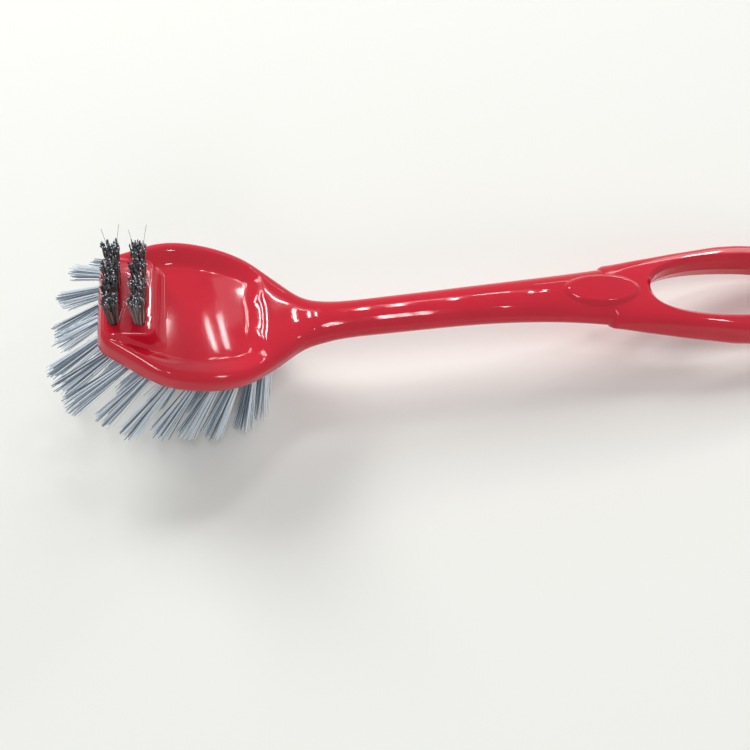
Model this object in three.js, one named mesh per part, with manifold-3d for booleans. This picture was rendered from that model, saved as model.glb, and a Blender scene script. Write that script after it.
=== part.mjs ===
// Long-handled scrubbing brush in millimetres, +Z up, nose towards -X.
// One moulded body holds every tuft: a splayed fan under the round head and a small stiff
// brush of two rows on the nose. Each tuft is folded round a flat anchor at the end of its hole.
// The brush lies as it rests: on its rear bristles and on the end of its loop.

import * as THREE from "three";
import { mergeVertices } from "three/addons/utils/BufferGeometryUtils.js";
import Module from "manifold-3d";

const wasm = await Module();
wasm.setup();
const { Manifold, Mesh } = wasm;
const deg = Math.PI / 180;

// ---- Driving dimensions ----

// Spine: mid-thickness line from the nose to the loop, angles below the horizontal.
const headAngle = 23.8 * deg;
const shaftAngle = 0.4 * deg;
const gripAngle = 9.4 * deg;
const headRun = 50; // straight under the head
const neckBend = 23.7; // arc behind the head
const shaftRun = 44; // straight along the shaft
const gripBend = 60; // arc into the grip
const gripRun = 97.5; // straight through the loop

// Head
const headLength = 66;
const headWidth = 53.8;
const headThickness = 9.5;
const noseWidth = 30.4;
const noseRound = 1.6; // top and bottom edges of the nose
const noseCorner = 3; // upright corners of the nose
const dishDepth = 3.2;
const dishRim = 3;
const dishStart = 3;
const dishFrontRamp = 8; // length of its front slope
const dishEnd = 56; // station where the dish has run out
const dishRamp = 12; // length of its rear slope
const dishPower = 2.6; // 2 is a round hollow, and a high one a flat floor

// Shaft and grip
const neckWidth = 13.3;
const shaftWidth = 13.2;
const shaftThickness = 10.8;
const shaftMiddleWidth = 14.5;
const shaftEndWidth = 17.5;
const waistRun = 26; // from the neck to the slim place of the shaft
const middleRun = 45; // from the middle of the shaft to the shoulders
const endRun = 20; // from its end width to the shoulders
const gripWidth = 21.9; // where the shaft meets the loop's shoulders
const gripThickness = 13.4;
const thickenRun = 23; // from the front of the opening to the full thickness
const shoulderStep = 1.4; // the loop's shoulders stand out of the shaft by this much
const shoulderLead = 3.2; // they start this far before the grip's bend ends
const shoulderRound = 2.4;

// Loop
const loopWidth = 38.4;
const loopEndLength = 44; // from the widest place to the end
const loopEndRound = 3;
const armWidth = 5.8;
const loopWebLength = 14.9; // solid stretch between the shoulders and the opening
const loopEndThickness = 9.6;
const openingDraft = 0.45; // the opening widens by this from its parting line to its lips
const lipRound = 1.5;
const lipHeight = 2.5;
const openingReach = 1.15; // the cutter's height over the loop's, so that it cuts right through
const openingPoints = 80;

// Oval pad on the grip
const padLength = 29;
const padWidth = 13.8;
const padSetback = 2.9; // its centre is this far before the shoulders
const padHeight = 0.8;
const padEdge = 0.5;

// Block on the nose
const blockLength = 14.9;
const blockWidth = 28;
const blockHeight = 0.5; // above the head at the front
const blockTilt = 10.8 * deg; // its top rises towards the rear
const blockCorner = 2.6;
const blockEdge = 0.5;
const blockSetback = 0.5; // behind the front face of the head
const blockSink = 8.2; // from its top down into the head
const blockDraft = 0.03; // how much longer the block gets per millimetre of depth, as a share
const blockSideDraft = 0.012; // and how much wider

// Tufts, their holes and anchors
const clearance = 0.3;
const holeDiameter = 3.2;
const tuftPlug = 1.8; // length of tuft inside its hole, above the slice of backing
const anchorHeight = 1.2;
const anchorThickness = 0.5;
const sliceThickness = 1.2; // slice of the backing that the tufts are fused to
const sliceMargin = 0.6; // round the holes
const strandRadius = 0.45;
const strandCircle = 1.06; // radius of the ring of strands in a tuft
const strandsRound = 7; // round one in the middle

// Fan under the head: the tufts of a ring point away from one apex above the neck.
const seatHeight = 0.4; // the flat seat of the fan stands proud of the head by this much
const seatMargin = 0.8; // round the slice of backing
const seatEdge = 0.5;
const fanCentre = 31; // station of the middle of the rings
const fanCounts = [24, 13, 6]; // tufts in each ring, from the outside in
const fanEndInset = 6.6; // outer ring to the ends of the head's outline
const fanSideInset = 4.9; // outer ring to the sides of the head
const ringPitchAlong = 8.7;
const ringPitchAcross = 7.5;
const outerRings = 1; // how many of the rings belong to the outer bristles
const apexStation = 51.8;
const apexHeights = [53.2, 74, 90]; // the inner tufts stand steeper
const noseBristle = 25.6;
const rearBristle = 25.8;
const fanFlare = 0.045; // sideways spread per millimetre of length

// Brush on the nose
const noseRows = [3.1, 10.8]; // from the front of the block
const noseTufts = 4; // in a row
const nosePitch = 6.3;
const noseTuftLength = 13.5;
const noseTuftLean = 6 * deg; // forwards of square to the block
const noseFlare = 0.05;

// ---- Materials ----

const redPlastic = new THREE.MeshStandardMaterial({ color: 0xcc1228, roughness: 0.16 });
const paleBristle = new THREE.MeshStandardMaterial({ color: 0xb4c6d8, roughness: 0.35 });
const darkBristle = new THREE.MeshStandardMaterial({ color: 0x2c2f33, roughness: 0.4 });
const anchorSteel = new THREE.MeshStandardMaterial({ color: 0xb8bbbf, roughness: 0.3, metalness: 1 });

// ---- Spine and outline ----

const spineParts = [
  [headRun, headAngle, headAngle],
  [neckBend, headAngle, shaftAngle],
  [shaftRun, shaftAngle, shaftAngle],
  [gripBend, shaftAngle, gripAngle],
  [gripRun, gripAngle, gripAngle],
];
const brushLength = spineParts.reduce((sum, [length]) => sum + length, 0);

// Frame at a station of the spine: X runs on towards the loop, Z stands square to the spine.
function spineFrame(station) {
  let x = 0;
  let z = 0;
  let angle = headAngle;
  let left = station;
  for (const [length, from, to] of spineParts) {
    const run = Math.min(left, length);
    angle = from + ((to - from) * run) / length;
    const half = (angle - from) / 2;
    const chord = half === 0 ? run : (run * Math.sin(half)) / half;
    x += chord * Math.cos(from + half);
    z -= chord * Math.sin(from + half);
    left -= run;
    if (left <= 0) break;
  }
  return new THREE.Matrix4().makeRotationY(angle).setPosition(x, 0, z);
}

// Smooth function through points [station, value].
function curveThrough(points) {
  const last = points.length - 1;
  const slope = (i) => {
    const [before, after] = [points[Math.max(i - 1, 0)], points[Math.min(i + 1, last)]];
    return (after[1] - before[1]) / (after[0] - before[0]);
  };
  return (station) => {
    const s = THREE.MathUtils.clamp(station, points[0][0], points[last][0]);
    const i = Math.min(points.findLastIndex(([at]) => at <= s), last - 1);
    const span = points[i + 1][0] - points[i][0];
    const t = (s - points[i][0]) / span;
    const rise = points[i + 1][1] - points[i][1];
    const bow = (slope(i) * span - rise) * (1 - t) - (slope(i + 1) * span - rise) * t;
    return points[i][1] + rise * t + t * (1 - t) * bow;
  };
}

const neckEnd = headRun + neckBend;
const shoulder = neckEnd + shaftRun + gripBend - shoulderLead; // station of the loop's shoulders
const openingStart = shoulder + loopWebLength;
const openingEnd = brushLength - loopEndThickness;
const widestLoop = brushLength - loopEndLength;

// Half widths of the head and shaft, up to the shoulders: an egg, a waist and a slow taper.
const shaftHalfWidth = curveThrough([
  [0, noseWidth / 2],
  [0.135 * headLength, 0.378 * headWidth],
  [0.24 * headLength, 0.452 * headWidth],
  [0.34 * headLength, 0.491 * headWidth],
  [0.455 * headLength, 0.5 * headWidth],
  [0.58 * headLength, 0.484 * headWidth],
  [0.715 * headLength, 0.43 * headWidth],
  [0.865 * headLength, 0.305 * headWidth],
  [0.985 * headLength, 0.19 * headWidth],
  [neckEnd - 5, 0.635 * neckWidth],
  [neckEnd + 6, 0.5 * neckWidth],
  [neckEnd + waistRun, 0.5 * shaftWidth],
  [shoulder - middleRun, 0.5 * shaftMiddleWidth],
  [shoulder - endRun, 0.5 * shaftEndWidth],
  [shoulder, 0.5 * gripWidth],
]);

// Half widths of the loop, from the shoulders to its widest place.
const shoulderHalf = gripWidth / 2 + shoulderStep;
const loopSpread = loopWidth / 2 - shoulderHalf;
const loopSpan = widestLoop - shoulder;
const loopHalfWidth = curveThrough([
  [shoulder, shoulderHalf],
  [shoulder + 0.32 * loopSpan, shoulderHalf + 0.312 * loopSpread],
  [shoulder + 0.5 * loopSpan, shoulderHalf + 0.524 * loopSpread],
  [shoulder + 0.7 * loopSpan, shoulderHalf + 0.75 * loopSpread],
  [shoulder + 0.85 * loopSpan, shoulderHalf + 0.93 * loopSpread],
  [widestLoop, loopWidth / 2],
]);

// How far a corner of radius round is cut back at a distance from its end.
function cutBack(distance, round) {
  const inside = Math.max(round - distance, 0);
  return round - Math.sqrt(Math.max(round * round - inside * inside, 0));
}

function halfWidth(station) {
  if (station > widestLoop) {
    const along = (station - widestLoop) / loopEndLength;
    return (loopWidth / 2) * Math.sqrt(Math.max(1 - along * along, 0));
  }
  if (station > shoulder) {
    const round = cutBack(station - shoulder, shoulderRound) / shoulderRound;
    return loopHalfWidth(station) - shoulderStep * round;
  }
  return shaftHalfWidth(station) - cutBack(station, noseCorner);
}

const thickness = curveThrough([
  [0, headThickness],
  [0.7 * headLength, headThickness],
  [neckEnd - 5, shaftThickness],
  [shoulder + 2, shaftThickness],
  [openingStart + thickenRun, gripThickness],
  [brushLength, gripThickness],
]);

function halfThickness(station) {
  const corners = cutBack(station, noseRound) + cutBack(brushLength - station, loopEndRound);
  return thickness(station) / 2 - corners;
}

// Exponent of the cross-section: 2 is an ellipse, and a high one is nearly a rectangle.
const squareness = curveThrough([
  [0, 6],
  [0.7 * headLength, 5.5],
  [neckEnd - 4, 2.6],
  [neckEnd + 20, 2.3],
  [shoulder - 20, 2.5],
  [shoulder + 4, 4],
  [openingStart, 9],
  [brushLength, 10],
]);

// Depth of the dish in the top of the head.
function dish(station, y) {
  const front = THREE.MathUtils.smoothstep(station - dishStart, 0, dishFrontRamp);
  const rear = THREE.MathUtils.smoothstep(dishEnd - station, 0, dishRamp);
  const across = Math.abs(y / (halfWidth(station) - dishRim));
  return dishDepth * front * rear * Math.max(1 - across ** dishPower, 0);
}

// ---- Solids ----

// Closed solid of manifold-3d from a geometry, placed by a matrix.
function solid(geometry, matrix = new THREE.Matrix4()) {
  const bare = new THREE.BufferGeometry().setAttribute("position", geometry.getAttribute("position"));
  if (geometry.index) bare.setIndex(geometry.index);
  const merged = mergeVertices(bare, 1e-4).applyMatrix4(matrix);
  return new Manifold(
    new Mesh({
      numProp: 3,
      vertProperties: new Float32Array(merged.attributes.position.array),
      triVerts: new Uint32Array(merged.index.array),
    }),
  );
}

function mesh(name, body, material) {
  const { vertProperties, triVerts } = body.getMesh();
  const geometry = new THREE.BufferGeometry();
  geometry.setAttribute("position", new THREE.BufferAttribute(vertProperties, 3));
  geometry.setIndex(new THREE.BufferAttribute(triVerts, 1));
  geometry.computeVertexNormals();
  const made = new THREE.Mesh(geometry, material);
  made.name = name;
  return made;
}

const at = (x, y, z) => new THREE.Matrix4().makeTranslation(x, y, z);

// Straight prism of a shape from the height low to the height high.
function prism(shape, low, high, curveSegments = 12) {
  const flat = { depth: high - low, bevelEnabled: false, curveSegments };
  return new THREE.ExtrudeGeometry(shape, flat).translate(0, 0, low);
}

function ellipse(centre, along, across) {
  return new THREE.Shape().absellipse(centre, 0, along, across, 0, 2 * Math.PI);
}

// Shape of a rectangle with round corners, from x = from, centred on y = 0.
function roundedRectangle(from, to, width, corner) {
  const side = width / 2;
  const shape = new THREE.Shape();
  shape.absarc(to - corner, side - corner, corner, 0, Math.PI / 2);
  shape.absarc(from + corner, side - corner, corner, Math.PI / 2, Math.PI);
  shape.absarc(from + corner, corner - side, corner, Math.PI, 1.5 * Math.PI);
  shape.absarc(to - corner, corner - side, corner, 1.5 * Math.PI, 2 * Math.PI);
  return shape;
}

const range = (from, to, count) =>
  Array.from({ length: count }, (_, i) => from + ((to - from) * i) / count);

// Cross-section of the body, round from one side over the top and back under.
function section(station) {
  const topSteps = 20;
  const underSteps = 12;
  const wide = halfWidth(station);
  const thick = halfThickness(station);
  const power = squareness(station);
  const height = (y) => thick * Math.max(1 - Math.abs(y / wide) ** power, 0) ** (1 / power);
  const top = range(0, Math.PI, topSteps).map((turn) => {
    const y = wide * Math.cos(turn);
    return [y, height(y) - dish(station, y)];
  });
  const under = range(Math.PI, 2 * Math.PI, underSteps).map((turn) => {
    const y = wide * Math.cos(turn);
    return [y, -height(y)];
  });
  return [...top, ...under];
}

// Closed solid through rings of points, each end filled to its middle.
// The rings turn from Y to Z where they follow X, and from X to Y where they follow Z.
function loft(rings) {
  const round = rings[0].length;
  const points = rings.flat();
  const faces = [];
  for (let ring = 0; ring + 1 < rings.length; ring++) {
    for (let i = 0; i < round; i++) {
      const [a, b] = [ring * round + i, ring * round + ((i + 1) % round)];
      faces.push(a, b, b + round, a, b + round, a + round);
    }
  }
  const middle = (ring) =>
    ring.reduce((sum, point) => sum.add(point), new THREE.Vector3()).divideScalar(round);
  points.push(middle(rings[0]), middle(rings.at(-1)));
  const end = (rings.length - 1) * round;
  for (let i = 0; i < round; i++) {
    const next = (i + 1) % round;
    faces.push(points.length - 2, next, i);
    faces.push(points.length - 1, end + i, end + next);
  }
  const geometry = new THREE.BufferGeometry().setFromPoints(points);
  geometry.setIndex(faces);
  return solid(geometry);
}

// Body without its block, pad, holes and opening: sections lofted along the spine.
function bodyLoft() {
  const nearEnd = (share) => brushLength - loopEndLength * (1 - Math.sin((share * Math.PI) / 2));
  const stations = [
    0,
    0.4 * noseRound,
    noseRound,
    ...range(4, headLength, 20),
    ...range(headLength, neckEnd + 12, 7),
    ...range(neckEnd + 12, shoulder, 10),
    shoulder,
    shoulder + 0.15 * shoulderRound,
    shoulder + 0.5 * shoulderRound,
    shoulder + shoulderRound,
    ...range(shoulder + 7, widestLoop, 8),
    ...range(0, 0.985, 9).map(nearEnd),
    nearEnd(0.985),
    nearEnd(0.999),
  ];
  return loft(
    stations.map((station) => {
      const frame = spineFrame(station);
      return section(station).map(([y, h]) => new THREE.Vector3(0, y, h).applyMatrix4(frame));
    }),
  );
}

const sliceReach = holeDiameter / 2 + sliceMargin;
const underside = -headThickness / 2 - seatHeight;

// Frames that the features are set out in.
const headFrame = spineFrame(0);
const blockFrame = at(blockSetback, 0, headThickness / 2 + blockHeight)
  .multiply(new THREE.Matrix4().makeRotationY(-blockTilt))
  .premultiply(headFrame);
const padFrame = spineFrame(shoulder - padSetback);
const loopFrame = spineFrame(openingStart);
const padTop = thickness(shoulder) / 2 + padHeight;

const fanRings = fanCounts.map((count, i) => ({
  count,
  along: headLength / 2 - fanEndInset - i * ringPitchAlong,
  across: headWidth / 2 - fanSideInset - i * ringPitchAcross,
}));

// Flat oval seat of the fan, under the head.
function fanSeat() {
  const margin = sliceReach + seatMargin;
  const [{ along, across }] = fanRings;
  const geometry = new THREE.ExtrudeGeometry(ellipse(fanCentre, along + margin, across + margin), {
    depth: headThickness / 2 - seatEdge,
    bevelThickness: seatEdge,
    bevelSize: seatEdge,
    bevelOffset: -seatEdge,
    bevelSegments: 2,
    curveSegments: 24,
  });
  return solid(geometry.translate(0, 0, underside + seatEdge), headFrame);
}

// Block on the nose: longer and wider at its foot, sunk into the head.
function noseBlock() {
  const geometry = new THREE.ExtrudeGeometry(roundedRectangle(0, blockLength, blockWidth, blockCorner), {
    depth: blockSink - blockEdge,
    bevelThickness: blockEdge,
    bevelSize: blockEdge,
    bevelOffset: -blockEdge,
    bevelSegments: 2,
    curveSegments: 4,
  });
  geometry.translate(0, 0, -blockSink);
  const place = geometry.getAttribute("position");
  for (let i = 0; i < place.count; i++) {
    const down = -place.getZ(i);
    place.setX(i, place.getX(i) * (1 + blockDraft * down));
    place.setY(i, place.getY(i) * (1 + blockSideDraft * down));
  }
  return solid(geometry, blockFrame);
}

function ovalPad() {
  const depth = padHeight + 3 - padEdge;
  const geometry = new THREE.ExtrudeGeometry(ellipse(0, padLength / 2, padWidth / 2), {
    depth,
    bevelThickness: padEdge,
    bevelSize: padEdge,
    bevelOffset: -padEdge,
    bevelSegments: 2,
    curveSegments: 40,
  });
  return solid(geometry.translate(0, 0, padTop - padEdge - depth), padFrame);
}

// Cutter of the loop's opening. Its walls lean away from a parting line at mid-thickness,
// and flare at both faces so that the lips are rounded.
function loopOpening() {
  const half = (openingEnd - openingStart) / 2;
  const wide = loopWidth / 2 - armWidth;
  const lipStart = 1 - lipHeight / (gripThickness / 2); // as a share of the half thickness
  const flare = (share) => {
    const away = Math.abs(share);
    const lip = Math.max(away - lipStart, 0) / (1 - lipStart);
    return openingDraft * Math.min(away / lipStart, 1) + lipRound * lip ** 2;
  };
  const above = [lipStart, lipStart + (1 - lipStart) / 3, 1 - (1 - lipStart) / 3, 1, openingReach];
  const shares = [...above.map((share) => -share).reverse(), 0, ...above];
  const rings = shares.map((share) =>
    range(0, 2 * Math.PI, openingPoints).map((turn) => {
      const x = half + (half + flare(share)) * Math.cos(turn);
      const face = thickness(openingStart + x) / 2;
      return new THREE.Vector3(x, (wide + flare(share)) * Math.sin(turn), share * face);
    }),
  );
  return loft(rings).transform(loopFrame.elements);
}

// ---- Tufts ----

// Each tuft: place on its face, direction of its strands and free length, in the frame of that face.
const fanTufts = fanRings.map(({ count, along, across }, ring) => {
  const apex = new THREE.Vector3(apexStation, 0, apexHeights[ring]);
  return range(0, 2 * Math.PI, count).map((turn) => {
    const swing = turn + (ring * Math.PI) / count;
    const root = new THREE.Vector3(fanCentre + along * Math.cos(swing), across * Math.sin(swing), underside);
    const share = (root.x - (fanCentre - fanRings[0].along)) / (2 * fanRings[0].along);
    return {
      root,
      direction: root.clone().sub(apex).normalize(),
      length: noseBristle + (rearBristle - noseBristle) * share,
    };
  });
});

const noseTuftRows = noseRows.map((row) =>
  range(0, noseTufts, noseTufts).map((i) => ({
    root: new THREE.Vector3(row, (i - (noseTufts - 1) / 2) * nosePitch, 0),
    direction: new THREE.Vector3(-Math.sin(noseTuftLean), 0, Math.cos(noseTuftLean)),
    length: noseTuftLength,
  })),
);

// One strand: a slim three-sided bar from root to tip, begun inside the slice of backing.
function strand(root, tip) {
  const triangle = new THREE.Shape(
    range(0, 2 * Math.PI, 3).map((turn) =>
      new THREE.Vector2(Math.cos(turn), Math.sin(turn)).multiplyScalar(strandRadius),
    ),
  );
  const way = tip.clone().sub(root);
  const geometry = prism(triangle, -sliceThickness / 2, way.length(), 1);
  const turn = new THREE.Quaternion().setFromUnitVectors(new THREE.Vector3(0, 0, 1), way.normalize());
  return solid(geometry.applyQuaternion(turn).translate(root.x, root.y, root.z));
}

function tuftStrands({ root, direction, length }, flare) {
  const turns = range(0, 2 * Math.PI, strandsRound).map((turn) => [strandCircle, turn]);
  return [[0, 0], ...turns].map(([out, turn]) => {
    const aside = new THREE.Vector3(Math.cos(turn), Math.sin(turn), 0).multiplyScalar(out);
    const start = root.clone().add(aside);
    const way = direction.clone().addScaledVector(aside, flare / strandCircle).normalize();
    const fan = start.clone().addScaledVector(way, length);
    return strand(start, fan);
  });
}

// Everything in a hole is set out from the face: inward is -1 where the hole runs down, 1 where up.
const plugEnd = sliceThickness + tuftPlug;
const anchorEnd = plugEnd + clearance + anchorHeight;
const holeDepth = anchorEnd + clearance;

function upright(diameter, from, to, { root }, inward) {
  const [low, high] = [Math.min(from * inward, to * inward), Math.max(from * inward, to * inward)];
  const round = new THREE.CylinderGeometry(diameter / 2, diameter / 2, high - low, 8).rotateX(Math.PI / 2);
  return solid(round.translate(root.x, root.y, root.z + (low + high) / 2));
}

const outOfSlice = sliceThickness / 2; // a hole or a plug starts this far inside its neighbour

function bristles(name, tufts, slice, flare, inward, material) {
  const plugs = tufts.map((tuft) =>
    upright(holeDiameter - 2 * clearance, outOfSlice, plugEnd, tuft, inward),
  );
  const strands = tufts.flatMap((tuft) => tuftStrands(tuft, flare));
  return { name, body: Manifold.union([slice, ...plugs, ...strands]), material };
}

function anchor(name, { root }, inward) {
  const middle = (inward * (plugEnd + clearance + anchorEnd)) / 2;
  const length = holeDiameter - 2 * clearance;
  const plate = new THREE.Mesh(new THREE.BoxGeometry(anchorThickness, length, anchorHeight), anchorSteel);
  plate.position.set(root.x, root.y, root.z + middle);
  plate.name = name;
  return plate;
}

// Slices of backing and the recesses that they fill, flush with the face.
const slicePart = (shape, inward) =>
  solid(prism(shape, Math.min(0, inward * sliceThickness), Math.max(0, inward * sliceThickness), 16));

function fanEllipse({ along, across }, margin, hole) {
  const shape = ellipse(fanCentre, along + margin, across + margin);
  if (hole) shape.holes.push(ellipse(fanCentre, hole.along + hole.margin, hole.across + hole.margin));
  return shape;
}

const innerRing = fanRings[outerRings];
const seam = { ...innerRing, margin: sliceReach + clearance };
const toUnderside = at(0, 0, underside);
const outerSlice = slicePart(fanEllipse(fanRings[0], sliceReach, seam), 1);
const innerSlice = slicePart(fanEllipse(innerRing, sliceReach), 1);
const rowSlice = (row, margin) =>
  roundedRectangle(
    row - sliceReach - margin,
    row + sliceReach + margin,
    (noseTufts - 1) * nosePitch + 2 * (sliceReach + margin),
    sliceReach,
  );

const place = (body, matrix) => body.transform(matrix.elements);

const bristleSets = [
  bristles(
    "outer_fan_bristles",
    fanTufts.slice(0, outerRings).flat(),
    place(outerSlice, toUnderside),
    fanFlare,
    1,
    paleBristle,
  ),
  bristles(
    "inner_fan_bristles",
    fanTufts.slice(outerRings).flat(),
    place(innerSlice, toUnderside),
    fanFlare,
    1,
    paleBristle,
  ),
];
const noseSets = noseRows.map((row, i) =>
  bristles(
    ["front_row_bristles", "rear_row_bristles"][i],
    noseTuftRows[i],
    slicePart(rowSlice(row, 0), -1),
    noseFlare,
    -1,
    darkBristle,
  ),
);

// ---- Body ----

function brushBody() {
  const shell = Manifold.union([bodyLoft(), fanSeat(), noseBlock(), ovalPad()]).subtract(loopOpening());
  const recess = sliceThickness + clearance;
  const fanCuts = [
    solid(prism(fanEllipse(fanRings[0], sliceReach + clearance), underside - 1, underside + recess, 16)),
    ...fanTufts.flat().map((tuft) => upright(holeDiameter, outOfSlice, holeDepth, tuft, 1)),
  ];
  const noseCuts = [
    ...noseRows.map((row) => solid(prism(rowSlice(row, clearance), -recess, 2, 6))),
    ...noseTuftRows.flat().map((tuft) => upright(holeDiameter, outOfSlice, holeDepth, tuft, -1)),
  ];
  return shell
    .subtract(place(Manifold.union(fanCuts), headFrame))
    .subtract(place(Manifold.union(noseCuts), blockFrame));
}

const body = brushBody();
const floor = body.boundingBox().min[2];

// ---- Assembly ----

const brush = new THREE.Group();
brush.add(mesh("brush_body", body, redPlastic));

// Bristles are trimmed flat where they meet the floor.
const room = 2 * brushLength;
const underFloor = new THREE.BoxGeometry(room, room, room).translate(0, 0, floor - room / 2);

function addTufts(frame, sets, anchors) {
  const group = new THREE.Group();
  group.applyMatrix4(frame);
  const cut = solid(underFloor, frame.clone().invert());
  for (const { name, body: tufts, material } of sets) {
    group.add(mesh(name, tufts.subtract(cut), material));
  }
  group.add(...anchors);
  brush.add(group);
}

const numbered = (stem, i) => stem + "_" + String(i + 1).padStart(2, "0");
addTufts(
  headFrame,
  bristleSets,
  fanTufts.flat().map((tuft, i) => anchor(numbered("fan_anchor", i), tuft, 1)),
);
addTufts(
  blockFrame,
  noseSets,
  noseTuftRows.flat().map((tuft, i) => anchor(numbered("nose_anchor", i), tuft, -1)),
);

// The origin is under the middle of the brush, on the floor.
const box = new THREE.Box3().setFromObject(brush, true);
const middle = box.getCenter(new THREE.Vector3());
brush.position.set(-middle.x, -middle.y, -box.min.z);

export default brush;
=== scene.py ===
import math
import random

import bmesh
import bpy
import numpy as np
from mathutils import Matrix, Vector


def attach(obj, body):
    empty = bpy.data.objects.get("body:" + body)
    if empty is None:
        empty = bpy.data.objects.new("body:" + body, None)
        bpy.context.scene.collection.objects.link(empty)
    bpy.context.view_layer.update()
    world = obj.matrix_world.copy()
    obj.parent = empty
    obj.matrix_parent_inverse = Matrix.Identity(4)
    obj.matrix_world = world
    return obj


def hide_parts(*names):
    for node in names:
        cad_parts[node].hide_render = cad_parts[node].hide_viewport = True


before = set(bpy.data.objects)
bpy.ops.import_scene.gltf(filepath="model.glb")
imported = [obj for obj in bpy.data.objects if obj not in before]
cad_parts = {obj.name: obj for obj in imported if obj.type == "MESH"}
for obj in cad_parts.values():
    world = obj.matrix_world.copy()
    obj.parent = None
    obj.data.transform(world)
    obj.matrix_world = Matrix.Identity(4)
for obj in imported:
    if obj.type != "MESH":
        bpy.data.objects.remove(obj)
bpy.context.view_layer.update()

mm = 0.001
print("frame loaded:", len(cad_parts), "nodes")


def smoothStep(value, low, high):
    share = min(max((value - low) / (high - low), 0), 1)
    return share * share * (3 - 2 * share)


def linkObject(name, mesh):
    piece = bpy.data.objects.new(name, mesh)
    bpy.context.scene.collection.objects.link(piece)
    return piece


# turns a bmesh in millimetres into a finished object in metres
def finishMesh(name, bm, place=Matrix()):
    bmesh.ops.transform(bm, matrix=Matrix.Scale(mm, 4) @ place, verts=bm.verts[:])
    mesh = bpy.data.meshes.new(name)
    bm.to_mesh(mesh)
    bm.free()
    return linkObject(name, mesh)


# swaps an object's mesh for the one its modifiers give
def applyModifiers(piece):
    graph = bpy.context.evaluated_depsgraph_get()
    made = bpy.data.meshes.new_from_object(piece.evaluated_get(graph))
    piece.modifiers.clear()
    old, piece.data = piece.data, made
    bpy.data.meshes.remove(old)


def cutOrJoin(piece, tool, operation):
    change = piece.modifiers.new("change", "BOOLEAN")
    change.operation = operation
    change.solver = "EXACT"
    change.object = tool
    applyModifiers(piece)
    bpy.data.objects.remove(tool)


def shadeSmooth(piece, angle):
    for face in piece.data.polygons:
        face.use_smooth = True
    piece.data.set_sharp_from_angle(angle=math.radians(angle))


# angles from zero to a right angle
def quarterTurn(steps):
    return [step / steps * math.pi / 2 for step in range(steps + 1)]


# closed stack of rings, each of them a function of the point's number round it
def stackRings(bm, count, rings):
    number = bm.verts.layers.int.new("number")
    verts = bmesh.ops.create_circle(bm, cap_ends=False, radius=1, segments=count)["verts"]
    for i, vert in enumerate(verts):
        vert[number] = i
    edges = bm.edges[:]
    for step, ring in enumerate(rings):
        if step:
            grown = bmesh.ops.extrude_edge_only(bm, edges=edges)["geom"]
            verts = [item for item in grown if isinstance(item, bmesh.types.BMVert)]
            fresh = set(verts)
            edges = [item for item in grown if isinstance(item, bmesh.types.BMEdge)
                     and item.verts[0] in fresh and item.verts[1] in fresh]
        for vert in verts:
            vert.co = ring(vert[number])
    bmesh.ops.holes_fill(bm, edges=[edge for edge in bm.edges if edge.is_boundary], sides=0)
    bmesh.ops.recalc_face_normals(bm, faces=bm.faces[:])


# Lengths are in millimetres and angles in degrees. A station is a length along the spine from the nose.
spine = {
    "nose": (-123.631, 52.593),  # x and z of its start
    # length of each part, and how far it points down at its start and its end
    "parts": [(50, 23.8, 23.8), (23.7, 23.8, 0.4), (44, 0.4, 0.4), (60, 0.4, 9.4), (97.5, 9.4, 9.4)],
}
head = {
    "length": 66, "width": 53.8, "thickness": 9.5, "noseWidth": 30.4, "noseRound": 1.6, "noseCorner": 3.0,
    "dishDepth": 3.2, "dishRim": 2.8, "dishStart": 3, "dishFrontRamp": 8, "dishEnd": 57.5,
    "dishCorner": 9.0, "cornerBlend": 5, "sideWall": 6.6, "sideBrow": 0.5, "rearWall": 11.6,
    "rearBrow": 7.0, "dishFoot": 1.3, "floorRise": 1.0, "floorLow": 29,
}
handle = {
    "neckWidth": 13.3, "width": 13.2, "thickness": 10.8, "middleWidth": 14.5, "endWidth": 17.5,
    "gripWidth": 21.9, "gripThickness": 13.4, "shoulderStep": 1.4, "shoulderRound": 2.4,
}
loop = {
    "width": 38.4, "endLength": 44, "endRound": 3, "armWidth": 7.5, "web": 16.7, "bluntness": 2.3,
    "endThickness": 11, "lip": 1.9, "lipHeight": 1.8, "lipRound": 0.5, "draft": 0.2, "footDraft": 1.0,
    "partingRidge": 0.12,
}
brushLength = sum(part[0] for part in spine["parts"])
neckEnd = 73.7
shoulder = 174.5
openingStart = shoulder + loop["web"]
openingEnd = brushLength - loop["endThickness"]
widestLoop = brushLength - loop["endLength"]


def spineFrame(station):
    x, z = spine["nose"]
    left = station
    for length, start, end in spine["parts"]:
        start, end = math.radians(start), math.radians(end)
        run = min(left, length)
        angle = start + (end - start) * run / length
        half = (angle - start) / 2
        chord = run if abs(half) < 1e-9 else run * math.sin(half) / half
        x += chord * math.cos(start + half)
        z -= chord * math.sin(start + half)
        left -= run
        if left <= 0:
            break
    return Matrix.Translation((x, 0, z)) @ Matrix.Rotation(angle, 4, "Y")


# smooth curve through points of (station, value), level beyond its ends
def curveThrough(points):
    last = len(points) - 1

    def slope(i):
        before, after = points[max(i - 1, 0)], points[min(i + 1, last)]
        return (after[1] - before[1]) / (after[0] - before[0])

    def value(station):
        s = min(max(station, points[0][0]), points[last][0])
        i = 0
        while i < last - 1 and points[i + 1][0] <= s:
            i += 1
        span = points[i + 1][0] - points[i][0]
        t = (s - points[i][0]) / span
        rise = points[i + 1][1] - points[i][1]
        bow = (slope(i) * span - rise) * (1 - t) - (slope(i + 1) * span - rise) * t
        return points[i][1] + rise * t + t * (1 - t) * bow

    return value


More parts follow.
